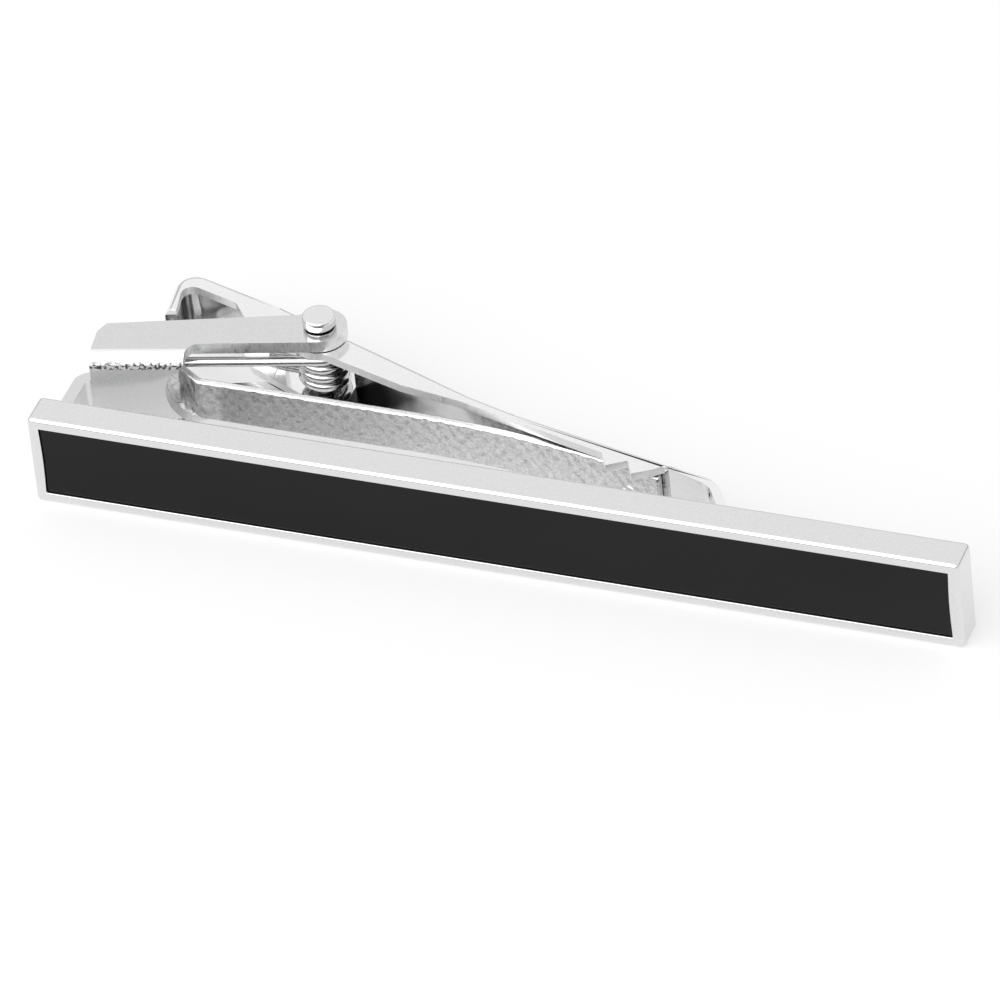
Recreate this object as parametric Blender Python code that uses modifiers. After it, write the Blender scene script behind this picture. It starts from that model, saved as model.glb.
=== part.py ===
"""Sprung tie clip: an inlaid front bar with a spring clip on its back.

Row frame: +X along the bar, +Y from the bar towards the clip, +Z up. The origin is the middle of the
long narrow face that the bar stands on. The clip is drawn in its own frame, whose origin is the corner
where the bar's left end meets its back face, at half the bar's height.
"""

import math

import bmesh
import bpy
from mathutils import Matrix, Vector

MM = 0.001

# Front bar and inlay.
BAR_LENGTH = 60.0 * MM
BAR_HEIGHT = 6.4 * MM
BAR_DEPTH = 2.4 * MM
BAR_EDGE_RADIUS = 0.25 * MM
BORDER_WIDTH = 0.72 * MM
POCKET_DEPTH = 0.95 * MM
INLAY_THICKNESS = 0.76 * MM
INLAY_EDGE_RADIUS = 0.05 * MM

# Gaps.
SEAT_GAP = 0.02 * MM
SIDE_PLAY = 0.05 * MM
HOLE_PLAY = 0.04 * MM
PIVOT_PLAY = 0.06 * MM
JAW_PLAY = 0.14 * MM
BITE_GAP = 0.05 * MM
COIL_PLAY = 0.05 * MM
COIL_BORE_PLAY = 0.36 * MM

# Hinge bracket: one bent sheet.
BRACKET_GAUGE = 0.8 * MM
BRACKET_INSET = 0.25 * MM
BRACKET_BEND = 1.05 * MM
WEB_START = Vector((1.35, 4.6)) * MM
WEB_ANGLE = math.radians(13.7)
WEB_LENGTH = 5.85 * MM
WEB_NOTCH_DEPTH = 1.3 * MM
EAR_NEAR_EDGE = 1.25 * MM
EAR_ROOT_FILLET = 1.1 * MM
EAR_FAR_EDGE = 3.25 * MM
EAR_FAR_RISE = 0.068
EAR_CORNER_CUT = Vector((0.5, 0.75)) * MM
EAR_END_LEAN = 0.25 * MM
EAR_END_RADIUS = 1.7 * MM
FOOT_INSET = 0.3 * MM
FOOT_HALF_HEIGHT = 1.1 * MM
FOOT_PAD_LENGTH = 3.4 * MM
FOOT_BEND = 0.75 * MM
FOOT_LAP = 1.5 * MM

# Pivot: its place in the clip's frame, and its rivet.
PIVOT = Vector((14.25, 10.9)) * MM
SHANK_RADIUS = 0.65 * MM
HEAD_RADIUS = 1.05 * MM
HEAD_THICKNESS = 0.75 * MM
HEAD_EDGE = 0.16 * MM
HEAD_LIFT = 0.1 * MM
TAIL_RADIUS = 0.95 * MM

# Fixed jaw: a narrow strip, lapped on the back of the bracket's web.
JAW_GAUGE = 0.5 * MM
JAW_LAP = 3.8 * MM
JAW_LAP_END = 5.45 * MM
JAW_BEND = 0.5 * MM
JAW_OFFSET = 5.82 * MM
JAW_STEP_END = 8.0 * MM
JAW_CURVE_START = 21.0 * MM
JAW_CURVE_RADIUS = 72.0 * MM
JAW_REACH = 38.9 * MM
JAW_CORNER_RADIUS = 0.5 * MM

# Lever: outer jaw and thumb piece in one channel.
LEVER_GAUGE = 0.55 * MM
LEVER_BEND = 0.7 * MM
THUMB_END = 3.2 * MM
THUMB_CORNER = 1.3 * MM
THUMB_SLOPE = -0.305
THUMB_LEAN = 0.55 * MM
THUMB_FOOT = 11.25 * MM
THUMB_SIDE_RIM = 0.8 * MM
THUMB_BACK_RIM = 1.45 * MM
THUMB_RIM_CORNER = 0.7 * MM
THUMB_RIM_END = 7.9 * MM
THUMB_LIP = Vector((9.2, 11.3)) * MM
WALL_KNEE = Vector((10.8, 13.4)) * MM
WALL_WAIST = Vector((25.4, 7.75)) * MM
WALL_HIP = Vector((28.4, 6.85)) * MM
WALL_BLEND = 14.0 * MM
NOSE_SETBACK = 0.45 * MM
NOSE_FADE = 1.2 * MM
NOSE_SLOPE = -0.36
NOSE_LENGTH = 3.6 * MM
NOSE_BEND = 2.2 * MM
NOSE_REACH = 5.65 * MM
NOSE_CLEARANCE = 0.42 * MM
NOSE_CORNER_RADIUS = 1.5 * MM
LOBE_RADIUS = 1.75 * MM
CHEEK = Vector((20.7, 7.5)) * MM
LIP_START = Vector((24.6, 6.9)) * MM
LIP_STEP = 0.05 * MM
TOOTH_PITCH = 1.8 * MM
TOOTH_HEIGHT = 1.0 * MM
TOOTH_RUN = 0.62 * MM
TOOTH_COUNT = 2
WINDOW_START = 10.7 * MM
WINDOW_END = 16.3 * MM
WINDOW_CORNER = 0.15 * MM
WINDOW_RELIEF = 0.03 * MM

# Torsion spring.
WIRE_RADIUS = 0.31 * MM
COIL_TURNS = 3.5
COIL_STEPS = 18
LEG_CONTACT = 5.0 * MM
LEG_OVERHANG = 0.9 * MM
REACTION_CONTACT = 10.95 * MM

ARC_STEPS = 6

# Worked out from the sizes above.
BRACKET_HALF = BAR_HEIGHT / 2 - BRACKET_INSET
BRACKET_INNER_HALF = BRACKET_HALF - BRACKET_GAUGE
LEVER_HALF = BRACKET_INNER_HALF - SIDE_PLAY
LEVER_INNER_HALF = LEVER_HALF - LEVER_GAUGE
JAW_HALF = LEVER_INNER_HALF - JAW_PLAY
COIL_RADIUS = SHANK_RADIUS + COIL_BORE_PLAY + WIRE_RADIUS
WEB_NOTCH_RADIUS = (BRACKET_INNER_HALF**2 + WEB_NOTCH_DEPTH**2) / (2 * WEB_NOTCH_DEPTH)
NOSE_START = JAW_REACH + NOSE_SETBACK
NOSE_TIP = Vector((JAW_REACH + NOSE_REACH, NOSE_CLEARANCE))
CLIP_ORIGIN = Vector((-BAR_LENGTH / 2, BAR_DEPTH / 2, BAR_HEIGHT / 2))
WEB_ALONG = Vector((math.cos(WEB_ANGLE), math.sin(WEB_ANGLE)))
WEB_BACK = Vector((-math.sin(WEB_ANGLE), math.cos(WEB_ANGLE)))
PASS_THROUGH = 20.0 * MM


# Outlines ---------------------------------------------------------------------------------------


def on_web(along, back):
    """A point of the clip's plan, given along the web's front face and back from it."""
    return WEB_START + WEB_ALONG * along + WEB_BACK * back


def arc(centre, radius, start, end, steps=ARC_STEPS):
    """Points on an arc, from one angle to the other, in degrees."""
    angles = [math.radians(start + (end - start) * i / steps) for i in range(steps + 1)]
    return [Vector((centre[0] + radius * math.cos(a), centre[1] + radius * math.sin(a))) for a in angles]


def rounded(points, radii, steps=ARC_STEPS):
    """A polyline whose inner corners are arcs. A radius of 0 leaves its corner sharp."""
    path = [points[0]]
    for before, corner, after, radius in zip(points, points[1:], points[2:], radii):
        back = (before - corner).normalized()
        ahead = (after - corner).normalized()
        half = back.angle(ahead) / 2
        if radius == 0:
            path.append(corner)
            continue
        tangent = radius / math.tan(half)
        centre = corner + (back + ahead).normalized() * radius / math.sin(half)
        start = corner + back * tangent - centre
        turn = (corner + ahead * tangent - centre).angle_signed(start)
        path += [centre + Matrix.Rotation(turn * i / steps, 2) @ start for i in range(steps + 1)]
    return path + [points[-1]]


def offset(path, distance):
    """The polyline at one side of a path: to its left for a positive distance."""
    moved = []
    for i, point in enumerate(path):
        into = (point - path[i - 1]).normalized() if i else None
        out = (path[i + 1] - point).normalized() if i + 1 < len(path) else into
        into = into or out
        mean = (into + out).normalized()
        left = Vector((-mean.y, mean.x))
        moved.append(point + left * distance / max(mean.dot(into), 0.2))
    return moved


def ribbon(path, thickness):
    """The closed outline of a bent sheet, from the middle line of its edge."""
    return offset(path, thickness / 2) + offset(path, -thickness / 2)[::-1]


def tangent_point(centre, radius, outside, side):
    """Where a line from an outside point touches a circle, on its left (1) or right (-1) side."""
    towards = centre - outside
    lean = math.acos(radius / towards.length)
    return centre + Matrix.Rotation(side * lean, 2) @ (-towards.normalized() * radius)


# Blender helpers ----------------------------------------------------------------------------------


def clear_scene():
    for obj in list(bpy.data.objects):
        bpy.data.objects.remove(obj, do_unlink=True)


def new_collection(name):
    collection = bpy.data.collections.new(name)
    bpy.context.scene.collection.children.link(collection)
    return collection


def new_material(name, color, metallic, roughness):
    material = bpy.data.materials.new(name)
    material.use_nodes = True
    shader = material.node_tree.nodes["Principled BSDF"]
    shader.inputs["Base Color"].default_value = (*color, 1)
    shader.inputs["Metallic"].default_value = metallic
    shader.inputs["Roughness"].default_value = roughness
    return material


def place(obj, location, parent=None):
    obj.location = location
    if parent:
        obj.parent = parent
    return obj


def mesh_from_curve(curve):
    """Replace a curve object by a welded mesh object of the same name."""
    bpy.context.view_layer.update()
    graph = bpy.context.evaluated_depsgraph_get()
    mesh = bpy.data.meshes.new_from_object(curve.evaluated_get(graph))
    work = bmesh.new()
    work.from_mesh(mesh)
    bmesh.ops.remove_doubles(work, verts=work.verts, dist=1e-6 * MM * 100)
    bmesh.ops.recalc_face_normals(work, faces=work.faces)
    work.to_mesh(mesh)
    work.free()
    obj = bpy.data.objects.new("piece", mesh)
    obj.matrix_world = curve.matrix_world
    curve_data = curve.data
    bpy.data.objects.remove(curve, do_unlink=True)
    bpy.data.curves.remove(curve_data)
    return obj


def prism(name, outline, half_height, collection, plane="XY"):
    """A flat outline, drawn in plan (XY) or seen from the right end (YZ) or the front (XZ)."""
    data = bpy.data.curves.new(name, "CURVE")
    data.dimensions = "2D"
    data.fill_mode = "BOTH"
    data.extrude = half_height
    spline = data.splines.new("POLY")
    spline.points.add(len(outline) - 1)
    for point, place_2d in zip(spline.points, outline):
        point.co = (place_2d[0], place_2d[1], 0, 1)
    spline.use_cyclic_u = True
    curve = bpy.data.objects.new(name, data)
    bpy.context.scene.collection.objects.link(curve)
    obj = mesh_from_curve(curve)
    obj.name = name
    turns = {
        "XY": Matrix.Identity(4),
        "XZ": Matrix.Rotation(math.radians(90), 4, "X"),
        "YZ": Matrix(((0, 0, 1, 0), (1, 0, 0, 0), (0, 1, 0, 0), (0, 0, 0, 1))),
    }
    obj.data.transform(turns[plane])
    collection.objects.link(obj)
    return obj


def lofted(name, outlines, heights, collection):
    """A solid through outlines of equal point count, one at each height from low to high."""
    work = bmesh.new()
    rings = [
        [work.verts.new((point.x, point.y, height)) for point in outline]
        for outline, height in zip(outlines, heights)
    ]
    work.faces.new(rings[0])
    work.faces.new(rings[-1][::-1])
    for low, high in zip(rings, rings[1:]):
        for i, point in enumerate(low):
            after = (i + 1) % len(low)
            work.faces.new((low[after], point, high[i], high[after]))
    bmesh.ops.recalc_face_normals(work, faces=work.faces)
    mesh = bpy.data.meshes.new(name)
    work.to_mesh(mesh)
    work.free()
    obj = bpy.data.objects.new(name, mesh)
    collection.objects.link(obj)
    return obj


def combine(obj, other, operation):
    boolean = obj.modifiers.new(other.name, "BOOLEAN")
    boolean.operation = operation
    boolean.solver = "EXACT"
    boolean.object = other
    return boolean


def smooth(obj, angle=35):
    obj.data.shade_smooth()
    obj.data.set_sharp_from_angle(angle=math.radians(angle))


def give(obj, material):
    obj.data.materials.clear()
    obj.data.materials.append(material)


def make_cutter(obj):
    obj.hide_render = True
    obj.display_type = "WIRE"
    return obj


def bore(name, radius, half_height, location, collection, vertices=32):
    bpy.ops.mesh.primitive_cylinder_add(vertices=vertices, radius=radius, depth=2 * half_height)
    cutter = bpy.context.object
    cutter.name = name
    for old in list(cutter.users_collection):
        old.objects.unlink(cutter)
    collection.objects.link(cutter)
    cutter.location = location
    return make_cutter(cutter)


def box(name, size, location, collection):
    bpy.ops.mesh.primitive_cube_add(size=1)
    obj = bpy.context.object
    obj.name = name
    for old in list(obj.users_collection):
        old.objects.unlink(obj)
    collection.objects.link(obj)
    obj.data.transform(Matrix.Diagonal((*size, 1)))
    obj.location = location
    return obj


# Pieces -------------------------------------------------------------------------------------------


def make_bar(parts, cutters, material):
    bar = box("front_bar", (BAR_LENGTH, BAR_DEPTH, BAR_HEIGHT), (0, 0, BAR_HEIGHT / 2), parts)
    edges = bar.modifiers.new("edges", "BEVEL")
    edges.width = BAR_EDGE_RADIUS
    edges.segments = 3
    pocket_size = (BAR_LENGTH - 2 * BORDER_WIDTH, 2 * POCKET_DEPTH, BAR_HEIGHT - 2 * BORDER_WIDTH)
    pocket = box("pocket", pocket_size, (0, -BAR_DEPTH / 2, BAR_HEIGHT / 2), cutters)
    combine(bar, make_cutter(pocket), "DIFFERENCE")
    smooth(bar)
    give(bar, material)
    return bar


def make_inlay(parts, material):
    inset = BORDER_WIDTH + SEAT_GAP
    size = (BAR_LENGTH - 2 * inset, INLAY_THICKNESS, BAR_HEIGHT - 2 * inset)
    middle = -BAR_DEPTH / 2 + POCKET_DEPTH - SEAT_GAP - INLAY_THICKNESS / 2
    inlay = box("inlay", size, (0, middle, BAR_HEIGHT / 2), parts)
    edges = inlay.modifiers.new("edges", "BEVEL")
    edges.width = INLAY_EDGE_RADIUS
    edges.segments = 2
    give(inlay, material)
    return inlay


def bracket_outline():
    """Plan of the web and the ears together."""
    pivot = PIVOT - WEB_START
    pin = Vector((pivot.dot(WEB_ALONG), pivot.dot(WEB_BACK)))
    root = Vector((WEB_LENGTH, EAR_NEAR_EDGE))
    near = tangent_point(pin, EAR_END_RADIUS, root, 1)
    near_angle = math.degrees(math.atan2(near.y - pin.y, near.x - pin.x))
    far_height = EAR_FAR_EDGE + EAR_FAR_RISE * pin.x - pin.y
    far_angle = 180 - math.degrees(math.asin(far_height / EAR_END_RADIUS)) + math.degrees(EAR_FAR_RISE)
    end = arc(pin, EAR_END_RADIUS, near_angle, far_angle, 3 * ARC_STEPS)
    start = [Vector((0, 0)), Vector((WEB_LENGTH, 0)), root, near]
    corner = EAR_END_LEAN + EAR_CORNER_CUT.x
    local = rounded(start, [0, EAR_ROOT_FILLET]) + end[1:]
    local.append(Vector((corner, EAR_FAR_EDGE + EAR_FAR_RISE * corner)))
    local.append(Vector((EAR_END_LEAN, EAR_FAR_EDGE - EAR_CORNER_CUT.y)))
    return [on_web(point.x, point.y) for point in local]


def make_bracket(parts, cutters, material):
    bracket = prism("hinge_bracket", bracket_outline(), BRACKET_HALF, parts)
    bend_outline = rounded_end(0, PASS_THROUGH, BRACKET_HALF, BRACKET_BEND)
    bends = prism("bracket_bends", bend_outline, 2 * PASS_THROUGH, cutters, "YZ")
    hollow_outline = [
        on_web(-PASS_THROUGH, BRACKET_GAUGE),
        on_web(2 * PASS_THROUGH, BRACKET_GAUGE),
        on_web(2 * PASS_THROUGH, PASS_THROUGH),
        on_web(-PASS_THROUGH, PASS_THROUGH),
    ]
    hollow = prism("bracket_hollow", hollow_outline, BRACKET_INNER_HALF, cutters)
    notch = bore("web_notch", WEB_NOTCH_RADIUS, BRACKET_BEND, (0, 0, 0), cutters, 96)
    centre = on_web(WEB_LENGTH - WEB_NOTCH_DEPTH + WEB_NOTCH_RADIUS, EAR_NEAR_EDGE - BRACKET_BEND)
    notch.location = CLIP_ORIGIN + Vector((*centre, 0))
    notch.rotation_euler = (math.radians(90), 0, WEB_ANGLE)
    foot = prism("bracket_foot", foot_outline(), FOOT_HALF_HEIGHT, cutters)
    hole = bore("bracket_bore", SHANK_RADIUS + HOLE_PLAY, PASS_THROUGH, (0, 0, 0), cutters)
    hole.location = CLIP_ORIGIN + Vector((*PIVOT, 0))
    for piece in (bracket, hollow, foot):
        place(piece, CLIP_ORIGIN)
    place(bends, CLIP_ORIGIN + Vector((*WEB_START, 0)))
    bends.rotation_euler.z = WEB_ANGLE
    combine(bracket, make_cutter(bends), "INTERSECT")
    combine(bracket, make_cutter(hollow), "DIFFERENCE")
    combine(bracket, notch, "DIFFERENCE")
    combine(bracket, make_cutter(foot), "UNION")
    combine(bracket, hole, "DIFFERENCE")
    smooth(bracket)
    give(bracket, material)
    return bracket


def foot_outline():
    """Plan of the foot: a pad on the bar's back, an upright, and the lap inside the web."""
    middle = FOOT_INSET + BRACKET_GAUGE / 2
    pad = SEAT_GAP + BRACKET_GAUGE / 2
    lap_start = on_web(0, BRACKET_GAUGE / 2)
    lap_end = on_web(FOOT_LAP, BRACKET_GAUGE / 2)
    corner = Vector((middle, lap_start.y - (lap_start.x - middle) * math.tan(WEB_ANGLE)))
    points = [Vector((FOOT_PAD_LENGTH, pad)), Vector((middle, pad)), corner, lap_end]
    return ribbon(rounded(points, [FOOT_BEND, FOOT_BEND]), BRACKET_GAUGE - SEAT_GAP)


def jaw_path():
    """Middle line of the fixed jaw's edge, from its lap on the web to its free end."""
    lap_back = BRACKET_GAUGE + SEAT_GAP + JAW_GAUGE / 2
    points = [
        on_web(JAW_LAP_END - JAW_LAP, lap_back),
        on_web(JAW_LAP_END, lap_back),
        Vector((JAW_STEP_END, JAW_OFFSET)),
        Vector((JAW_CURVE_START, JAW_OFFSET)),
    ]
    centre = Vector((JAW_CURVE_START, JAW_OFFSET - JAW_CURVE_RADIUS))
    swing = math.degrees(math.asin((JAW_REACH - JAW_CURVE_START) / JAW_CURVE_RADIUS))
    curve = arc(centre, JAW_CURVE_RADIUS, 90, 90 - swing, 2 * ARC_STEPS)
    return rounded(points, [JAW_BEND, JAW_BEND]) + curve[1:]


def jaw_back(x):
    """Distance from the bar to the back of the fixed jaw, on its curved stretch."""
    drop = JAW_CURVE_RADIUS + JAW_GAUGE / 2
    return JAW_OFFSET - JAW_CURVE_RADIUS + math.sqrt(drop**2 - (x - JAW_CURVE_START) ** 2)


def make_jaw(parts, material):
    jaw = prism("fixed_jaw", ribbon(jaw_path(), JAW_GAUGE), JAW_HALF, parts)
    place(jaw, CLIP_ORIGIN)
    smooth(jaw)
    give(jaw, material)
    return jaw


def thumb_height(x):
    """Distance from the bar to the outer face of the thumb's back wall."""
    return WALL_KNEE.y + THUMB_SLOPE * (x - WALL_KNEE.x)


def lever_wall():
    """Outer face of the lever's back wall, from the thumb end to the nose."""
    bite = Vector((JAW_REACH, jaw_back(JAW_REACH) + BITE_GAP + LEVER_GAUGE * 1.04))
    slope = (bite.y - WALL_HIP.y) / (bite.x - WALL_HIP.x)
    nose = Vector((NOSE_START, bite.y + slope * (NOSE_START - bite.x)))
    bend = nose + Vector((1, NOSE_SLOPE)).normalized() * NOSE_LENGTH
    points = [
        Vector((THUMB_END + THUMB_LEAN, THUMB_FOOT)),
        Vector((THUMB_END, thumb_height(THUMB_END))),
        WALL_KNEE,
        WALL_WAIST,
        WALL_HIP,
        nose,
        bend,
        NOSE_TIP,
    ]
    return rounded(points, [THUMB_CORNER, WALL_BLEND, WALL_BLEND, WALL_BLEND, 3 * NOSE_BEND, NOSE_BEND], 5)


def lever_lip(wall):
    """Front edge of the lever's flanges, from the nose back to the thumb end."""
    inner = offset(wall, -LEVER_GAUGE)

    def jaw_front(x):
        return jaw_back(x) - JAW_GAUGE - LIP_STEP

    teeth_start = JAW_REACH - 0.3 * MM - TOOTH_COUNT * TOOTH_PITCH
    lip = []
    for i in range(TOOTH_COUNT):
        x = teeth_start + i * TOOTH_PITCH
        lip.append(Vector((x, jaw_front(x))))
        lip.append(Vector((x + TOOTH_RUN, jaw_front(x + TOOTH_RUN) - TOOTH_HEIGHT)))
    end_x = teeth_start + TOOTH_COUNT * TOOTH_PITCH
    lip.append(Vector((end_x, jaw_front(end_x))))
    lobe_start = tangent_point(PIVOT, LOBE_RADIUS, THUMB_LIP, 1) - PIVOT
    lobe = arc(PIVOT, LOBE_RADIUS, math.degrees(math.atan2(lobe_start.y, lobe_start.x)), -68)
    rim_start = THUMB_END + THUMB_SIDE_RIM
    rim = [
        Vector((rim_start + THUMB_LEAN, THUMB_FOOT)),
        Vector((rim_start, thumb_height(rim_start) - THUMB_BACK_RIM)),
        Vector((THUMB_RIM_END, thumb_height(THUMB_RIM_END) - THUMB_BACK_RIM)),
    ]
    forward = rounded(rim, [THUMB_RIM_CORNER]) + [THUMB_LIP] + lobe + [CHEEK, LIP_START] + lip
    nose = [point for point in inner if point.x > JAW_REACH + 0.1 * MM]
    return nose[::-1] + forward[::-1]


def make_lever(parts, cutters, material, pivot):
    wall = lever_wall()
    lip = lever_lip(wall)
    shift = Vector((-PIVOT.x, -PIVOT.y))
    outlines = []
    heights = []
    for point in arc((LEVER_BEND, LEVER_HALF - LEVER_BEND), LEVER_BEND, 180, 90):
        back = []
        for full, drawn_in in zip(wall, offset(wall, -point.x)):
            share = min(1, max(0, (NOSE_START + NOSE_FADE - full.x) / NOSE_FADE))
            back.append(full.lerp(drawn_in, share) + shift)
        outlines.append(back + [place_2d + shift for place_2d in lip])
        heights.append(point.y)
    levels = [-height for height in heights[::-1]] + heights
    lever = lofted("lever", outlines[::-1] + outlines, levels, parts)
    inner = [point for point in offset(wall, -LEVER_GAUGE) if point.x < JAW_REACH + 0.45 * MM]
    start = inner[0] + Vector((0, -PASS_THROUGH))
    end = inner[-1] + Vector((0.3, -1)) * PASS_THROUGH
    hollow_outline = [point + shift for point in [start] + inner + [end]]
    hollow = prism("lever_hollow", hollow_outline, LEVER_INNER_HALF, cutters)
    window_half = LEVER_INNER_HALF + WINDOW_RELIEF
    window_outline = rounded_box(WINDOW_START - PIVOT.x, WINDOW_END - PIVOT.x, window_half, WINDOW_CORNER)
    window = prism("coil_window", window_outline, PASS_THROUGH / 2, cutters, "XZ")
    window.data.transform(Matrix.Translation((0, PASS_THROUGH / 2 - LOBE_RADIUS, 0)))
    tip = NOSE_TIP.y - PIVOT.y - 0.3 * MM
    keep_outline = rounded_end(tip, PASS_THROUGH, LEVER_HALF + 0.1 * MM, NOSE_CORNER_RADIUS)
    keep = prism("nose_shape", keep_outline, 3 * PASS_THROUGH, cutters, "YZ")
    hole = bore("lever_bore", SHANK_RADIUS + PIVOT_PLAY, PASS_THROUGH, (0, 0, 0), cutters)
    for piece in (lever, hollow, window, keep, hole):
        place(piece, (0, 0, 0), pivot)
    combine(lever, make_cutter(hollow), "DIFFERENCE")
    combine(lever, make_cutter(window), "DIFFERENCE")
    combine(lever, make_cutter(keep), "INTERSECT")
    combine(lever, hole, "DIFFERENCE")
    smooth(lever)
    give(lever, material)
    return lever


def rounded_box(low, high, half, radius):
    """A rectangle with round corners, from low to high and half to each side."""
    outline = arc((high - radius, half - radius), radius, 0, 90, 3)
    outline += arc((low + radius, half - radius), radius, 90, 180, 3)
    outline += arc((low + radius, radius - half), radius, 180, 270, 3)
    return outline + arc((high - radius, radius - half), radius, 270, 360, 3)


def rounded_end(low, high, half, radius):
    """A rectangle whose two low corners are round."""
    outline = [Vector((high, half))] + arc((low + radius, half - radius), radius, 90, 180)
    return outline + arc((low + radius, radius - half), radius, 180, 270) + [Vector((high, -half))]


def spring_path():
    """Middle line of the wire about the pivot: first leg, coil from the top down, second leg."""
    centre = Vector((0, 0))
    top = LEVER_INNER_HALF - COIL_PLAY - WIRE_RADIUS
    lap_back = BRACKET_GAUGE + JAW_GAUGE + 2 * SEAT_GAP + WIRE_RADIUS
    contact = on_web(LEG_CONTACT, lap_back) - PIVOT
    wall = offset(lever_wall(), -LEVER_GAUGE - SEAT_GAP - WIRE_RADIUS)
    reaction = min(wall, key=lambda point: abs(point.x - REACTION_CONTACT)) - PIVOT
    first = tangent_point(centre, COIL_RADIUS, contact, 1)
    last = tangent_point(centre, COIL_RADIUS, reaction, -1)
    start = math.atan2(first.y, first.x)
    end = math.atan2(last.y, last.x)
    sweep = (end - start) % math.tau + math.tau * math.floor(COIL_TURNS)
    path = [Vector((*(contact + (contact - first).normalized() * LEG_OVERHANG), top))]
    path.append(Vector((*contact, top)))
    steps = round(sweep / math.tau * COIL_STEPS)
    for i in range(steps + 1):
        angle = start + sweep * i / steps
        height = top - 2 * top * i / steps
        path.append(Vector((COIL_RADIUS * math.cos(angle), COIL_RADIUS * math.sin(angle), height)))
    path.append(Vector((*reaction, -top)))
    path.append(Vector((*(reaction + (reaction - last).normalized() * LEG_OVERHANG), -top)))
    return path


def make_spring(parts, material):
    data = bpy.data.curves.new("torsion_spring", "CURVE")
    data.dimensions = "3D"
    data.bevel_depth = WIRE_RADIUS
    data.bevel_resolution = 2
    data.use_fill_caps = True
    path = spring_path()
    spline = data.splines.new("POLY")
    spline.points.add(len(path) - 1)
    for point, where in zip(spline.points, path):
        point.co = (*where, 1)
    spring = bpy.data.objects.new("torsion_spring", data)
    parts.objects.link(spring)
    spring.location = CLIP_ORIGIN + Vector((*PIVOT, 0))
    spring.data.materials.append(material)
    return spring


def make_rivet(parts, material):
    """Turned profile, from the head down its outer side to the tail."""
    head_top = BRACKET_HALF + HEAD_LIFT + HEAD_THICKNESS
    head_under = BRACKET_HALF + HEAD_LIFT
    tail_top = -BRACKET_HALF - SEAT_GAP
    tail_end = -BAR_HEIGHT / 2
    profile = [
        (0, head_top),
        (HEAD_RADIUS - HEAD_EDGE, head_top),
        (HEAD_RADIUS - HEAD_EDGE * 0.3, head_top - HEAD_EDGE * 0.3),
        (HEAD_RADIUS, head_top - HEAD_EDGE),
        (HEAD_RADIUS, head_under + HEAD_EDGE),
        (HEAD_RADIUS - HEAD_EDGE, head_under),
        (SHANK_RADIUS, head_under),
        (SHANK_RADIUS, tail_top),
        (TAIL_RADIUS, tail_top),
        (TAIL_RADIUS, tail_end),
        (0, tail_end),
    ]
    mesh = bpy.data.meshes.new("pivot_rivet")
    points = [(x, 0, z) for x, z in profile]
    mesh.from_pydata(points, [(i, i + 1) for i in range(len(points) - 1)], [])
    rivet = bpy.data.objects.new("pivot_rivet", mesh)
    parts.objects.link(rivet)
    rivet.location = CLIP_ORIGIN + Vector((*PIVOT, 0))
    screw = rivet.modifiers.new("turned", "SCREW")
    screw.steps = 32
    screw.render_steps = 32
    screw.use_merge_vertices = True
    screw.merge_threshold = 0.001 * MM
    screw.use_smooth_shade = True
    give(rivet, material)
    return rivet


def main():
    clear_scene()
    parts = new_collection("tie_clip")
    cutters = new_collection("cutters")
    plated = new_material("plated_metal", (0.86, 0.86, 0.87), 1.0, 0.12)
    black = new_material("black_inlay", (0.012, 0.012, 0.013), 0.0, 0.3)
    bracket_metal = new_material("bracket_metal", (0.82, 0.82, 0.83), 1.0, 0.18)
    jaw_metal = new_material("hammered_metal", (0.74, 0.74, 0.75), 1.0, 0.32)
    lever_metal = new_material("lever_metal", (0.86, 0.86, 0.87), 1.0, 0.14)
    wire_metal = new_material("spring_wire", (0.68, 0.68, 0.7), 1.0, 0.22)
    rivet_metal = new_material("rivet_metal", (0.88, 0.88, 0.89), 1.0, 0.1)
    pivot = bpy.data.objects.new("lever_pivot", None)
    parts.objects.link(pivot)
    pivot.location = CLIP_ORIGIN + Vector((*PIVOT, 0))
    make_bar(parts, cutters, plated)
    make_inlay(parts, black)
    make_bracket(parts, cutters, bracket_metal)
    make_jaw(parts, jaw_metal)
    make_lever(parts, cutters, lever_metal, pivot)
    make_spring(parts, wire_metal)
    make_rivet(parts, rivet_metal)


main()
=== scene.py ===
"""Looks for the sprung tie clip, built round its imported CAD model."""

import math

import bmesh
import bpy
from mathutils import Matrix, Vector


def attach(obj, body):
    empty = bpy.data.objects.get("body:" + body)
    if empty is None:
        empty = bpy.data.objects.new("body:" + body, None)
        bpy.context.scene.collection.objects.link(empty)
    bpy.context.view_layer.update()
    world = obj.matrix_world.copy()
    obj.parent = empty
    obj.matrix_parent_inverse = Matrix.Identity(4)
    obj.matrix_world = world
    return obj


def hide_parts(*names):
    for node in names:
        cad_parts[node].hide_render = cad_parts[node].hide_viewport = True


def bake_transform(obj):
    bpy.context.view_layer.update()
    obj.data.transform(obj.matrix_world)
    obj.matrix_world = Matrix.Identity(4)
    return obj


MM = 0.001
BAR_LENGTH = 60.0 * MM
BAR_DEPTH = 2.4 * MM
BAR_HEIGHT = 6.4 * MM
MID_Z = BAR_HEIGHT / 2
PIVOT = Vector((-15.75, 12.1, 3.2)) * MM

BAR_BEVEL = 0.32 * MM
RECESS_BORDER = 0.72 * MM
RECESS_BOW = 0.07 * MM
RECESS_DEPTH = 0.95 * MM
INLAY_GAP = 0.025 * MM
INLAY_SET_BACK = 0.17 * MM
INLAY_THICKNESS = 0.74 * MM

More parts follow.
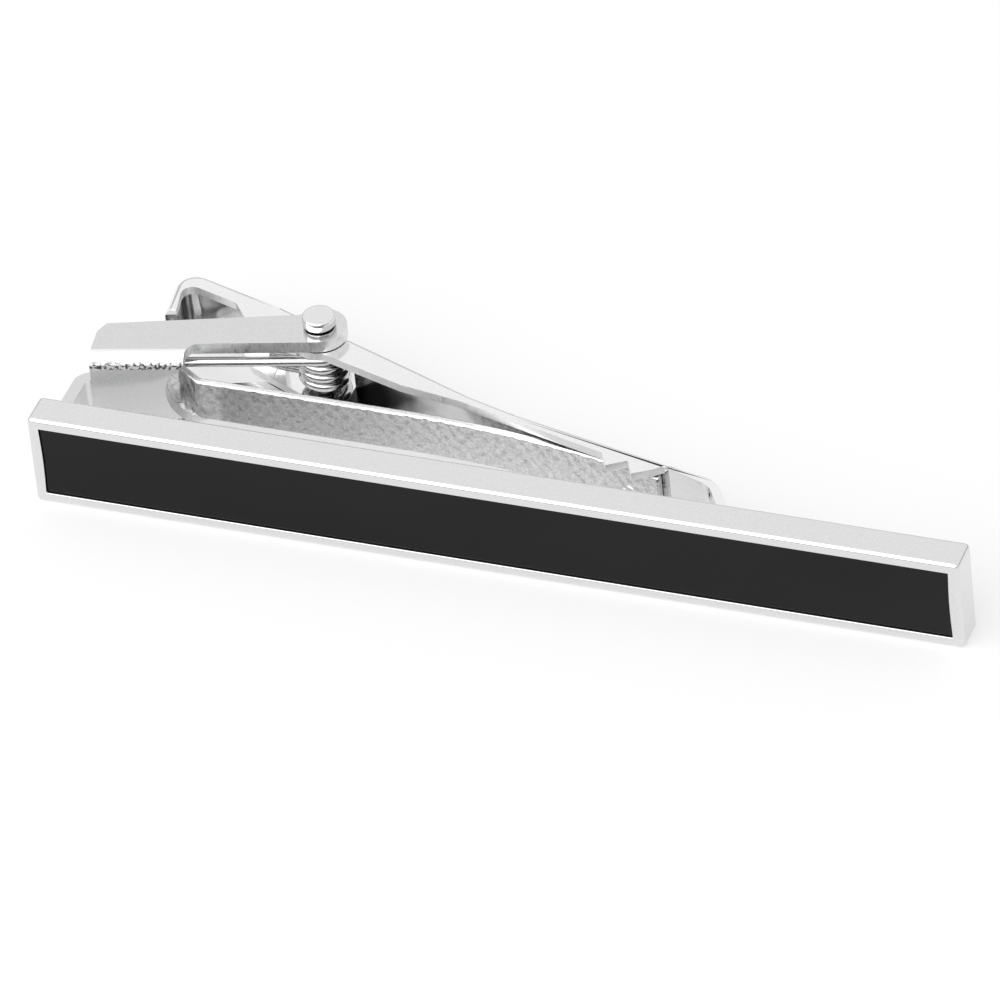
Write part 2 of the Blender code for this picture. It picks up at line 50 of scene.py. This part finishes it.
WEB_ANGLE = math.radians(13.7)
WEB_ALONG = Vector((math.cos(WEB_ANGLE), math.sin(WEB_ANGLE), 0))
EAR_ASIDE = 2.2 * MM
BEND_END_X = -22.3 * MM
NOTCH_END_X = -20 * MM
LEVER_WALL_ASIDE = 1.57 * MM
THUMB_WALL_X = -26 * MM
NOSE_START_X = 9.2 * MM

HEAD_RADIUS = 1.05 * MM
HEAD_TOP = 7.0 * MM
HEAD_UNDER = 6.25 * MM
SHANK_RADIUS = 0.65 * MM
TAIL_RADIUS = 0.95 * MM
TAIL_TOP = 0.23 * MM

WIRE_RADIUS = 0.31 * MM
COIL_RADIUS = 1.32 * MM
COIL_RISE = 1.19 * MM
COIL_TURNS = 3.475
COIL_START = math.atan2(-1.28, 0.33)
STRIP_LEG = (Vector((-9.31, -3.74)) * MM, Vector((-8.43, -3.51)) * MM)
LEVER_LEG = (Vector((-3.29, 1.49)) * MM, Vector((-4.19, 1.54)) * MM)

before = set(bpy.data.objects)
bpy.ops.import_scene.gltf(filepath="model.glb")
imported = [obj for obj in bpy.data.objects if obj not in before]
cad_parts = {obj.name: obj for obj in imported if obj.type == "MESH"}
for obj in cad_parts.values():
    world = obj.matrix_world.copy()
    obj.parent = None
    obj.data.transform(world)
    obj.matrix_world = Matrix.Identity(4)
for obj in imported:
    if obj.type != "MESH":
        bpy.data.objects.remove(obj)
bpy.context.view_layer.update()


# Materials ----------------------------------------------------------------------------------------


def new_material(name):
    material = bpy.data.materials.new(name)
    material.use_nodes = True
    return material, material.node_tree.nodes, material.node_tree.links


def noise(nodes, links, scale, detail=3.0, stretch=(1, 1, 1)):
    """Noise over the object's own coordinates. Scale is in features per metre."""
    where = nodes.new("ShaderNodeTexCoord")
    mapping = nodes.new("ShaderNodeMapping")
    mapping.inputs["Scale"].default_value = stretch
    texture = nodes.new("ShaderNodeTexNoise")
    texture.inputs["Scale"].default_value = scale
    texture.inputs["Detail"].default_value = detail
    links.new(where.outputs["Object"], mapping.inputs["Vector"])
    links.new(mapping.outputs["Vector"], texture.inputs["Vector"])
    return texture


def spread(nodes, links, source, low, high):
    """The source's middle range, stretched from low to high."""
    span = nodes.new("ShaderNodeMapRange")
    span.inputs["From Min"].default_value = 0.3
    span.inputs["From Max"].default_value = 0.7
    span.inputs["To Min"].default_value = low
    span.inputs["To Max"].default_value = high
    links.new(source, span.inputs["Value"])
    return span.outputs["Result"]


def two_tone(nodes, links, source, dark, light):
    ramp = nodes.new("ShaderNodeValToRGB")
    ramp.color_ramp.elements[0].position = 0.3
    ramp.color_ramp.elements[0].color = (*dark, 1)
    ramp.color_ramp.elements[1].position = 0.7
    ramp.color_ramp.elements[1].color = (*light, 1)
    links.new(source, ramp.inputs["Fac"])
    return ramp.outputs["Color"]


def set_stops(ramp, stops):
    """Grey levels along a colour ramp."""
    while len(ramp.color_ramp.elements) < len(stops):
        ramp.color_ramp.elements.new(0.5)
    for element, (position, level) in zip(ramp.color_ramp.elements, stops):
        element.position = position
        element.color = (level, level, level, 1)


def add_bump(nodes, links, height, strength, distance, after=None):
    bump = nodes.new("ShaderNodeBump")
    bump.inputs["Strength"].default_value = strength
    bump.inputs["Distance"].default_value = distance
    links.new(height, bump.inputs["Height"])
    if after:
        links.new(after, bump.inputs["Normal"])
    return bump.outputs["Normal"]


def metal(name, tone, rough, wave=0.02, grain=0.0, grain_scale=9000, stretch=(1, 1, 1), tone_shift=0.03):
    """Plated metal: slow waviness in its polish, and a finer grain where it is cut or rough."""
    material, nodes, links = new_material(name)
    shader = nodes["Principled BSDF"]
    shader.inputs["Metallic"].default_value = 1.0
    slow = noise(nodes, links, 420, 2.0)
    fine = noise(nodes, links, grain_scale, 4.0, stretch)
    light = tuple(min(1.0, tone + tone_shift + shift) for shift in (0, 0.001, 0.004))
    dark = tuple(tone - tone_shift + shift for shift in (0, 0.001, 0.004))
    links.new(two_tone(nodes, links, fine.outputs["Fac"], dark, light), shader.inputs["Base Color"])
    roughness = spread(nodes, links, fine.outputs["Fac"], rough * 0.75, rough * 1.3)
    links.new(roughness, shader.inputs["Roughness"])
    normal = add_bump(nodes, links, slow.outputs["Fac"], wave, 0.4 * MM)
    if grain:
        normal = add_bump(nodes, links, fine.outputs["Fac"], grain, 0.06 * MM, normal)
    links.new(normal, shader.inputs["Normal"])
    return material


def painted_shade_inside(name, rough):
    """The channel's inner faces: unpolished, with painted shade at the hinge and at the thumb's closed end,
    and painted reflection in lighter bands between.
    """
    material, nodes, links = new_material(name)
    shader = nodes["Principled BSDF"]
    shader.inputs["Metallic"].default_value = 1.0
    where = nodes.new("ShaderNodeTexCoord")
    split = nodes.new("ShaderNodeSeparateXYZ")
    cloud = noise(nodes, links, 700, 3.0, (1, 1, 0.6))
    sway = nodes.new("ShaderNodeMath")
    sway.operation = "MULTIPLY_ADD"
    sway.inputs[1].default_value = 2.4 * MM
    span = nodes.new("ShaderNodeMapRange")
    span.inputs["From Min"].default_value = -26.6 * MM
    span.inputs["From Max"].default_value = 14.6 * MM
    # Grey levels along X are painted light: painted shade at the thumb's closed end and by the hinge, painted
    # reflection in the lighter bands.
    ramp = nodes.new("ShaderNodeValToRGB")
    stops = [(0.0, 0.05), (0.035, 0.1), (0.06, 0.75), (0.1, 0.5), (0.16, 0.78), (0.26, 0.6), (0.31, 0.03)]
    stops += [(0.4, 0.04), (0.46, 0.42), (0.52, 0.66), (0.7, 0.6), (0.87, 0.75), (1.0, 0.75)]
    set_stops(ramp, stops)
    links.new(where.outputs["Object"], split.inputs["Vector"])
    links.new(cloud.outputs["Fac"], sway.inputs[0])
    links.new(split.outputs["X"], sway.inputs[2])
    links.new(sway.outputs[0], span.inputs["Value"])
    links.new(span.outputs["Result"], ramp.inputs["Fac"])
    links.new(ramp.outputs["Color"], shader.inputs["Base Color"])
    roughness = spread(nodes, links, cloud.outputs["Fac"], rough * 0.8, rough * 1.4)
    links.new(roughness, shader.inputs["Roughness"])
    links.new(add_bump(nodes, links, cloud.outputs["Fac"], 0.05, 0.1 * MM), shader.inputs["Normal"])
    return material


def burred_bend_painted_highlight(name, tone, rough):
    """The outside of the sheet's bends: smooth, painted brighter than the flat sheet as a painted highlight,
    with a line of torn specks next to the web.
    """
    material, nodes, links = new_material(name)
    shader = nodes["Principled BSDF"]
    shader.inputs["Metallic"].default_value = 1.0
    where = nodes.new("ShaderNodeTexCoord")
    split = nodes.new("ShaderNodeSeparateXYZ")
    links.new(where.outputs["Object"], split.inputs["Vector"])
    offset = nodes.new("ShaderNodeMath")
    offset.operation = "SUBTRACT"
    offset.inputs[1].default_value = MID_Z
    aside = nodes.new("ShaderNodeMath")
    aside.operation = "ABSOLUTE"
    span = nodes.new("ShaderNodeMapRange")
    span.inputs["From Min"].default_value = 1.8 * MM
    span.inputs["From Max"].default_value = 2.9 * MM
    band = nodes.new("ShaderNodeValToRGB")
    set_stops(band, [(0.0, 0.3), (0.07, 1.0), (0.34, 1.0), (0.6, 0.6), (0.78, 0.0)])
    specks = noise(nodes, links, 5600, 5.0, (0.8, 1, 1))
    sharp = nodes.new("ShaderNodeMapRange")
    sharp.inputs["From Min"].default_value = 0.47
    sharp.inputs["From Max"].default_value = 0.56
    share = nodes.new("ShaderNodeMath")
    share.operation = "MULTIPLY"
    blend = nodes.new("ShaderNodeMix")
    blend.data_type = "RGBA"
    blend.inputs["A"].default_value = (tone, tone, tone + 0.004, 1)
    blend.inputs["B"].default_value = (0.1, 0.1, 0.1, 1)
    links.new(split.outputs["Z"], offset.inputs[0])
    links.new(offset.outputs[0], aside.inputs[0])
    links.new(aside.outputs[0], span.inputs["Value"])
    links.new(span.outputs["Result"], band.inputs["Fac"])
    links.new(specks.outputs["Fac"], sharp.inputs["Value"])
    links.new(band.outputs["Color"], share.inputs[0])
    links.new(sharp.outputs["Result"], share.inputs[1])
    links.new(share.outputs[0], blend.inputs["Factor"])
    links.new(blend.outputs["Result"], shader.inputs["Base Color"])
    roughness = spread(nodes, links, specks.outputs["Fac"], rough * 0.9, rough * 1.2)
    links.new(roughness, shader.inputs["Roughness"])
    links.new(add_bump(nodes, links, share.outputs[0], 0.2, 0.02 * MM), shader.inputs["Normal"])
    return material


def hammered(name, tone, rough):
    """The fixed jaw's face: fine crossed strokes pressed over small dents, with painted shade and painted
    reflection in bands along its length.
    """
    material, nodes, links = new_material(name)
    shader = nodes["Principled BSDF"]
    shader.inputs["Metallic"].default_value = 1.0
    dents = noise(nodes, links, 1500, 2.0)
    where = nodes.new("ShaderNodeTexCoord")
    normal = add_bump(nodes, links, dents.outputs["Fac"], 0.3, 0.25 * MM)
    for turn in (38, -44):
        mapping = nodes.new("ShaderNodeMapping")
        mapping.inputs["Rotation"].default_value = (0, math.radians(turn), 0)
        strokes = nodes.new("ShaderNodeTexWave")
        strokes.inputs["Scale"].default_value = 430
        strokes.inputs["Distortion"].default_value = 7.0
        strokes.inputs["Detail"].default_value = 5
        links.new(where.outputs["Object"], mapping.inputs["Vector"])
        links.new(mapping.outputs["Vector"], strokes.inputs["Vector"])
        normal = add_bump(nodes, links, strokes.outputs["Fac"], 0.4, 0.05 * MM, normal)
    fine = noise(nodes, links, 5200, 4.0)
    tone_map = two_tone(nodes, links, fine.outputs["Fac"], (tone - 0.22,) * 3, (tone + 0.08,) * 3)
    split = nodes.new("ShaderNodeSeparateXYZ")
    links.new(where.outputs["Object"], split.inputs["Vector"])
    sway = nodes.new("ShaderNodeMath")
    sway.operation = "MULTIPLY_ADD"
    sway.inputs[1].default_value = 3.0 * MM
    links.new(dents.outputs["Fac"], sway.inputs[0])
    links.new(split.outputs["X"], sway.inputs[2])
    span = nodes.new("ShaderNodeMapRange")
    span.inputs["From Min"].default_value = -22.5 * MM
    span.inputs["From Max"].default_value = 9.0 * MM
    links.new(sway.outputs[0], span.inputs["Value"])
    # Painted shade and reflection along X: dark bands near the web end, lighter towards the tip.
    ramp = nodes.new("ShaderNodeValToRGB")
    stops = [(0.0, 0.9), (0.06, 0.42), (0.09, 0.7), (0.13, 0.45)]
    stops += [(0.22, 0.56), (0.36, 0.66), (0.55, 0.88), (0.8, 1.0)]
    set_stops(ramp, stops)
    links.new(span.outputs["Result"], ramp.inputs["Fac"])
    blend = nodes.new("ShaderNodeMix")
    blend.data_type = "RGBA"
    blend.blend_type = "MULTIPLY"
    blend.inputs["Factor"].default_value = 1.0
    links.new(tone_map, blend.inputs["A"])
    links.new(ramp.outputs["Color"], blend.inputs["B"])
    links.new(blend.outputs["Result"], shader.inputs["Base Color"])
    links.new(spread(nodes, links, fine.outputs["Fac"], rough * 0.8, rough * 1.3), shader.inputs["Roughness"])
    links.new(normal, shader.inputs["Normal"])
    return material


def black_resin(name):
    material, nodes, links = new_material(name)
    shader = nodes["Principled BSDF"]
    shader.inputs["Specular IOR Level"].default_value = 0.2
    cloud = noise(nodes, links, 160, 2.0, (0.35, 1, 1))
    fine = noise(nodes, links, 14000, 2.0)
    tone = two_tone(nodes, links, cloud.outputs["Fac"], (0.003, 0.003, 0.0034), (0.0065, 0.0065, 0.007))
    links.new(tone, shader.inputs["Base Color"])
    links.new(spread(nodes, links, cloud.outputs["Fac"], 0.2, 0.28), shader.inputs["Roughness"])
    links.new(add_bump(nodes, links, fine.outputs["Fac"], 0.03, 0.02 * MM), shader.inputs["Normal"])
    return material


# Pieces -------------------------------------------------------------------------------------------


def finish_piece(obj, body, node):
    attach(obj, body)
    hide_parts(node)
    return obj


def link(obj):
    bpy.context.scene.collection.objects.link(obj)
    return obj


def welded_copy(node, name):
    """A copy of a CAD node's mesh with its flat faces whole again."""
    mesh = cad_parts[node].data.copy()
    mesh.materials.clear()
    work = bmesh.new()
    work.from_mesh(mesh)
    bmesh.ops.remove_doubles(work, verts=work.verts, dist=0.0005 * MM)
    bmesh.ops.dissolve_limit(
        work, angle_limit=math.radians(0.6), verts=work.verts, edges=work.edges, use_dissolve_boundaries=False
    )
    work.to_mesh(mesh)
    work.free()
    return link(bpy.data.objects.new(name, mesh))


def soften(obj, width, segments=2, angle=32):
    """Round the sharp edges of a stamped piece, so that they catch the light."""
    edges = obj.modifiers.new("burnished_edges", "BEVEL")
    edges.width = width
    edges.segments = segments
    edges.limit_method = "ANGLE"
    edges.angle_limit = math.radians(angle)
    obj.data.shade_smooth()
    obj.data.set_sharp_from_angle(angle=math.radians(angle))
    flat = obj.modifiers.new("flat_faces", "WEIGHTED_NORMAL")
    flat.keep_sharp = True
    flat.weight = 80


def stamped(node, name, body, materials, pick, width=0.05 * MM):
    """A sheet part from its CAD node. pick gives the material's place in the list for each face."""
    obj = welded_copy(node, name)
    for material in materials:
        obj.data.materials.append(material)
    for face in obj.data.polygons:
        face.material_index = pick(face)
    soften(obj, width)
    return finish_piece(obj, body, node)


def box_mesh(name, low, high):
    corners = [(x, y, z) for x in (low[0], high[0]) for y in (low[1], high[1]) for z in (low[2], high[2])]
    work = bmesh.new()
    points = [work.verts.new(corner) for corner in corners]
    bmesh.ops.convex_hull(work, input=points)
    bmesh.ops.dissolve_limit(work, angle_limit=0.01, verts=work.verts, edges=work.edges)
    bmesh.ops.recalc_face_normals(work, faces=work.faces)
    mesh = bpy.data.meshes.new(name)
    work.to_mesh(mesh)
    work.free()
    return link(bpy.data.objects.new(name, mesh))


def prism(name, outline, front, back):
    """An outline in X and Z, carried from one Y to another."""
    work = bmesh.new()
    near = [work.verts.new((x, front, z)) for x, z in outline]
    far = [work.verts.new((x, back, z)) for x, z in outline]
    work.faces.new(near)
    work.faces.new(far[::-1])
    for i in range(len(outline)):
        j = (i + 1) % len(outline)
        work.faces.new((near[j], near[i], far[i], far[j]))
    bmesh.ops.recalc_face_normals(work, faces=work.faces)
    mesh = bpy.data.meshes.new(name)
    work.to_mesh(mesh)
    work.free()
    return link(bpy.data.objects.new(name, mesh))


def apply_modifiers(obj):
    bpy.context.view_layer.update()
    graph = bpy.context.evaluated_depsgraph_get()
    mesh = bpy.data.meshes.new_from_object(obj.evaluated_get(graph))
    obj.modifiers.clear()
    obj.data = mesh
    return obj


def make_bar(material):
    """The bar with soft outer edges, and a recess whose two ends bow inward a little."""
    half = BAR_LENGTH / 2
    bar = box_mesh("bar_body", (-half, -BAR_DEPTH / 2, 0), (half, BAR_DEPTH / 2, BAR_HEIGHT))
    edges = bar.modifiers.new("edges", "BEVEL")
    edges.width = BAR_BEVEL
    edges.segments = 8
    outline = []
    steps = 12
    for i in range(steps + 1):
        t = i / steps
        z = RECESS_BORDER + t * (BAR_HEIGHT - 2 * RECESS_BORDER)
        outline.append((half - RECESS_BORDER - RECESS_BOW * math.sin(math.pi * t), z))
    outline += [(-x, z) for x, z in reversed(outline)]
    cutter = prism("recess", outline, -2 * BAR_DEPTH, -BAR_DEPTH / 2 + RECESS_DEPTH)
    cut = bar.modifiers.new("recess", "BOOLEAN")
    cut.operation = "DIFFERENCE"
    cut.solver = "EXACT"
    cut.object = cutter
    apply_modifiers(bar)
    bpy.data.objects.remove(cutter, do_unlink=True)
    soften(bar, 0.05 * MM, 3, 40)
    bar.data.materials.clear()
    bar.data.materials.append(material)
    return finish_piece(bar, "bar", "front_bar"), outline


def make_inlay(material, outline):
    """The inlay fills the recess to a hair's gap."""
    inner = []
    for x, z in outline:
        inner.append((x - math.copysign(INLAY_GAP, x), z + (INLAY_GAP if z < MID_Z else -INLAY_GAP)))
    front = -BAR_DEPTH / 2 + INLAY_SET_BACK
    inlay = prism("inlay_body", inner, front, front + INLAY_THICKNESS)
    soften(inlay, 0.06 * MM, 3, 40)
    inlay.data.materials.append(material)
    return finish_piece(inlay, "bar", "inlay")


def turned(name, profile, centre, steps=64):
    """A solid of revolution about a vertical axis, from (radius, height) pairs, top to bottom."""
    work = bmesh.new()
    rings = []
    for radius, height in profile:
        if radius == 0:
            rings.append([work.verts.new((centre.x, centre.y, height))])
            continue
        angles = [math.tau * i / steps for i in range(steps)]
        rings.append(
            [
                work.verts.new((centre.x + radius * math.cos(a), centre.y + radius * math.sin(a), height))
                for a in angles
            ]
        )
    for upper, lower in zip(rings, rings[1:]):
        for i in range(steps):
            j = (i + 1) % steps
            if len(upper) == 1:
                work.faces.new((upper[0], lower[i], lower[j]))
            elif len(lower) == 1:
                work.faces.new((upper[j], upper[i], lower[0]))
            else:
                work.faces.new((upper[j], upper[i], lower[i], lower[j]))
    bmesh.ops.recalc_face_normals(work, faces=work.faces)
    mesh = bpy.data.meshes.new(name)
    work.to_mesh(mesh)
    work.free()
    return link(bpy.data.objects.new(name, mesh))


def fillet(radius, high, edge, steps=5):
    """The rounded rim of a disc, from its top face down its side."""
    return [
        (radius - edge + edge * math.sin(a), high - edge + edge * math.cos(a))
        for a in [math.pi / 2 * i / steps for i in range(steps + 1)]
    ]


def make_rivet(material):
    crown = 0.004 * MM
    profile = [(0, HEAD_TOP + crown), (0.5 * MM, HEAD_TOP + crown / 2)]
    profile += fillet(HEAD_RADIUS, HEAD_TOP, 0.17 * MM)
    profile += [(HEAD_RADIUS - 0.01 * MM, HEAD_UNDER + 0.12 * MM), (HEAD_RADIUS - 0.1 * MM, HEAD_UNDER)]
    profile += [(SHANK_RADIUS, HEAD_UNDER), (SHANK_RADIUS, TAIL_TOP)]
    profile += [(TAIL_RADIUS - 0.02 * MM, TAIL_TOP), (TAIL_RADIUS, TAIL_TOP - 0.03 * MM)]
    profile += [(TAIL_RADIUS, 0.08 * MM), (TAIL_RADIUS - 0.07 * MM, 0), (0, 0)]
    rivet = turned("rivet", profile, PIVOT)
    rivet.data.shade_smooth()
    rivet.data.set_sharp_from_angle(angle=math.radians(50))
    rivet.data.materials.append(material)
    return finish_piece(rivet, "bar", "pivot_rivet")


def make_spring(material):
    """The wire: one leg on the lapped strip, a close coil round the pivot, one leg inside the lever."""
    steps_per_turn = 32
    steps = round(COIL_TURNS * steps_per_turn)
    path = [(*point, COIL_RISE) for point in STRIP_LEG]
    for i in range(steps + 1):
        angle = COIL_START + COIL_TURNS * math.tau * i / steps
        height = COIL_RISE - 2 * COIL_RISE * i / steps
        path.append((COIL_RADIUS * math.cos(angle), COIL_RADIUS * math.sin(angle), height))
    path += [(*point, -COIL_RISE) for point in LEVER_LEG]
    data = bpy.data.curves.new("wire", "CURVE")
    data.dimensions = "3D"
    data.bevel_depth = WIRE_RADIUS
    data.bevel_resolution = 5
    data.use_fill_caps = True
    spline = data.splines.new("POLY")
    spline.points.add(len(path) - 1)
    for point, where in zip(spline.points, path):
        point.co = (*where, 1)
    curve = link(bpy.data.objects.new("wire", data))
    curve.location = PIVOT
    bpy.context.view_layer.update()
    graph = bpy.context.evaluated_depsgraph_get()
    mesh = bpy.data.meshes.new_from_object(curve.evaluated_get(graph))
    spring = link(bpy.data.objects.new("coil_spring", mesh))
    spring.matrix_world = curve.matrix_world.copy()
    bpy.data.objects.remove(curve, do_unlink=True)
    mesh.shade_smooth()
    mesh.set_sharp_from_angle(angle=math.radians(50))
    mesh.materials.clear()
    mesh.materials.append(material)
    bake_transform(spring)
    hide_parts("torsion_spring")
    return spring


# Materials and pieces -----------------------------------------------------------------------------

polished = metal("polished_plate", 0.75, 0.07, wave=0.012)
sheet_metal = metal("sheet_plate", 0.7, 0.12, wave=0.03)
cut_metal = metal(
    "sheared_edge", 0.78, 0.34, wave=0.03, grain=0.25, grain_scale=7000, stretch=(1, 1, 0.35), tone_shift=0.1
)
# The bends' tone, brighter than the sheet's, is a painted highlight.
bend_highlight_metal = burred_bend_painted_highlight("bend_painted_highlight", 0.92, 0.2)
# The notch and the lever's flange edges get a near-white tone: a painted highlight.
edge_highlight_metal = metal("edge_painted_highlight", 0.95, 0.45, grain=0.06, grain_scale=7000, stretch=(1, 1, 0.35))
# The lever's plate is set brighter than the bracket's to stand for its brighter reflection: painted sheen.
lever_metal = metal("lever_plate", 0.87, 0.09, wave=0.03)
inner_metal_painted_shade = painted_shade_inside("inner_plate_painted_shade", 0.16)
wire_metal = metal("drawn_wire", 0.7, 0.16, grain=0.1, grain_scale=8000, tone_shift=0.05)
rivet_metal = metal("rivet_plate", 0.78, 0.09, wave=0.012)
strip_metal = hammered("hammered_plate_painted_shade", 0.82, 0.22)
resin = black_resin("black_resin")


def pick_bracket(face):
    """Plain faces, the ears' sheared edges, the stretched outside of the two bends and the web's notch, both
    painted brighter as a painted highlight.
    """
    normal = face.normal
    level = abs(normal.z)
    if 0.1 < level < 0.97 and normal.y < -0.2 and face.center.x < BEND_END_X:
        return 2
    ear = abs(face.center.z - MID_Z) > EAR_ASIDE
    if level < 0.1 and ear:
        return 1
    notch = normal.dot(WEB_ALONG) > 0.12 and not ear and face.center.x < NOTCH_END_X
    return 3 if notch else 0


def pick_lever(face):
    """Sheared edges of the flanges face the bar; the channel's inner faces are duller and carry painted
    shade.
    """
    if abs(face.center.z - MID_Z) > LEVER_WALL_ASIDE:
        return 1 if abs(face.normal.z) < 0.2 and face.normal.y < -0.3 else 0
    if abs(face.normal.z) > 0.9:
        return 2
    outer = face.normal.y > 0.2 or (face.center.x < THUMB_WALL_X and face.normal.x < -0.5)
    # The nose's inner faces take the brighter lever plate, a painted highlight.
    return 0 if outer or face.center.x > NOSE_START_X else 2


def pick_strip(face):
    return 1 if abs(face.normal.z) > 0.5 else 0


bar, recess_outline = make_bar(polished)
make_inlay(resin, recess_outline)
stamped(
    "hinge_bracket",
    "bracket",
    "bar",
    [sheet_metal, cut_metal, bend_highlight_metal, edge_highlight_metal],
    pick_bracket,
)
stamped("fixed_jaw", "strip_jaw", "bar", [strip_metal, cut_metal], pick_strip, 0.12 * MM)
stamped("lever", "jaw_lever", "jaw", [lever_metal, edge_highlight_metal, inner_metal_painted_shade], pick_lever)
make_spring(wire_metal)
make_rivet(rivet_metal)


# Floor, light, camera -----------------------------------------------------------------------------


def make_floor():
    work = bmesh.new()
    reach = 1.5
    corners = ((-reach, -reach), (reach, -reach), (reach, reach), (-reach, reach))
    points = [work.verts.new((x, y, 0)) for x, y in corners]
    work.faces.new(points)
    mesh = bpy.data.meshes.new("floor")
    work.to_mesh(mesh)
    work.free()
    floor = link(bpy.data.objects.new("floor", mesh))
    material, nodes, links = new_material("floor_white")
    shader = nodes["Principled BSDF"]
    shader.inputs["Base Color"].default_value = (0.98, 0.98, 0.98, 1)
    shader.inputs["Roughness"].default_value = 0.9
    shader.inputs["Specular IOR Level"].default_value = 0.0
    glow = nodes.new("ShaderNodeEmission")
    glow.inputs["Color"].default_value = (1, 1, 1, 1)
    glow.inputs["Strength"].default_value = 1.0
    rays = nodes.new("ShaderNodeLightPath")
    seen = nodes.new("ShaderNodeMath")
    seen.operation = "MAXIMUM"
    share = nodes.new("ShaderNodeMath")
    share.operation = "MULTIPLY"
    share.inputs[1].default_value = 0.55
    mix = nodes.new("ShaderNodeMixShader")
    links.new(rays.outputs["Is Camera Ray"], seen.inputs[0])
    links.new(rays.outputs["Is Glossy Ray"], seen.inputs[1])
    links.new(seen.outputs[0], share.inputs[0])
    links.new(share.outputs[0], mix.inputs[0])
    links.new(shader.outputs[0], mix.inputs[1])
    links.new(glow.outputs[0], mix.inputs[2])
    links.new(mix.outputs[0], nodes["Material Output"].inputs["Surface"])
    mesh.materials.append(material)
    return floor


def make_world():
    """A plain white dome for light; metal sees it with softer grey zones between bright ones."""
    world = bpy.data.worlds.new("studio")
    bpy.context.scene.world = world
    world.use_nodes = True
    nodes = world.node_tree.nodes
    links = world.node_tree.links
    plain = nodes["Background"]
    plain.inputs["Color"].default_value = (1, 1, 1, 1)
    plain.inputs["Strength"].default_value = 0.6
    studio = nodes.new("ShaderNodeBackground")
    studio.inputs["Strength"].default_value = 1.0
    where = nodes.new("ShaderNodeTexCoord")
    split = nodes.new("ShaderNodeSeparateXYZ")
    ramp = nodes.new("ShaderNodeValToRGB")
    stops = [(0.0, 0.8), (0.1, 0.42), (0.24, 0.62), (0.42, 1.0)]
    stops += [(0.62, 0.98), (0.8, 1.0), (1.0, 0.95)]
    set_stops(ramp, stops)
    links.new(where.outputs["Generated"], split.inputs["Vector"])
    links.new(split.outputs["Z"], ramp.inputs["Fac"])
    links.new(ramp.outputs["Color"], studio.inputs["Color"])
    rays = nodes.new("ShaderNodeLightPath")
    mix = nodes.new("ShaderNodeMixShader")
    links.new(rays.outputs["Is Glossy Ray"], mix.inputs[0])
    links.new(plain.outputs[0], mix.inputs[1])
    links.new(studio.outputs[0], mix.inputs[2])
    links.new(mix.outputs[0], nodes["World Output"].inputs["Surface"])


def make_lamp(name, place, target, size, power):
    data = bpy.data.lights.new(name, "AREA")
    data.shape = "RECTANGLE"
    data.size = size[0]
    data.size_y = size[1]
    data.energy = power
    lamp = link(bpy.data.objects.new(name, data))
    lamp.location = place
    lamp.rotation_euler = (Vector(target) - Vector(place)).to_track_quat("-Z", "Y").to_euler()
    return lamp


def make_camera():
    yaw = math.radians(23.688)
    rise = math.radians(38.369)
    roll = math.radians(-6.224)
    distance = 777.337 * MM
    target = Vector((0.85, -1.2, 5.927)) * MM
    view = Vector((-math.sin(yaw) * math.cos(rise), math.cos(yaw) * math.cos(rise), -math.sin(rise)))
    right = Vector((math.cos(yaw), math.sin(yaw), 0))
    up = right.cross(view)
    side = math.cos(roll) * right + math.sin(roll) * up
    head = -math.sin(roll) * right + math.cos(roll) * up
    turn = Matrix((side, head, -view)).transposed().to_4x4()
    data = bpy.data.cameras.new("camera")
    data.sensor_width = 36
    data.lens = 464.2
    data.clip_start = 0.01
    camera = link(bpy.data.objects.new("camera", data))
    camera.matrix_world = Matrix.Translation(target - view * distance) @ turn
    bpy.context.scene.camera = camera
    return camera


make_floor()
make_world()
make_lamp("key", (-0.38, -0.74, 0.86), (0, 0, 0), (2.0, 1.4), 15.0)
make_camera()
bpy.context.scene.view_settings.view_transform = "Standard"
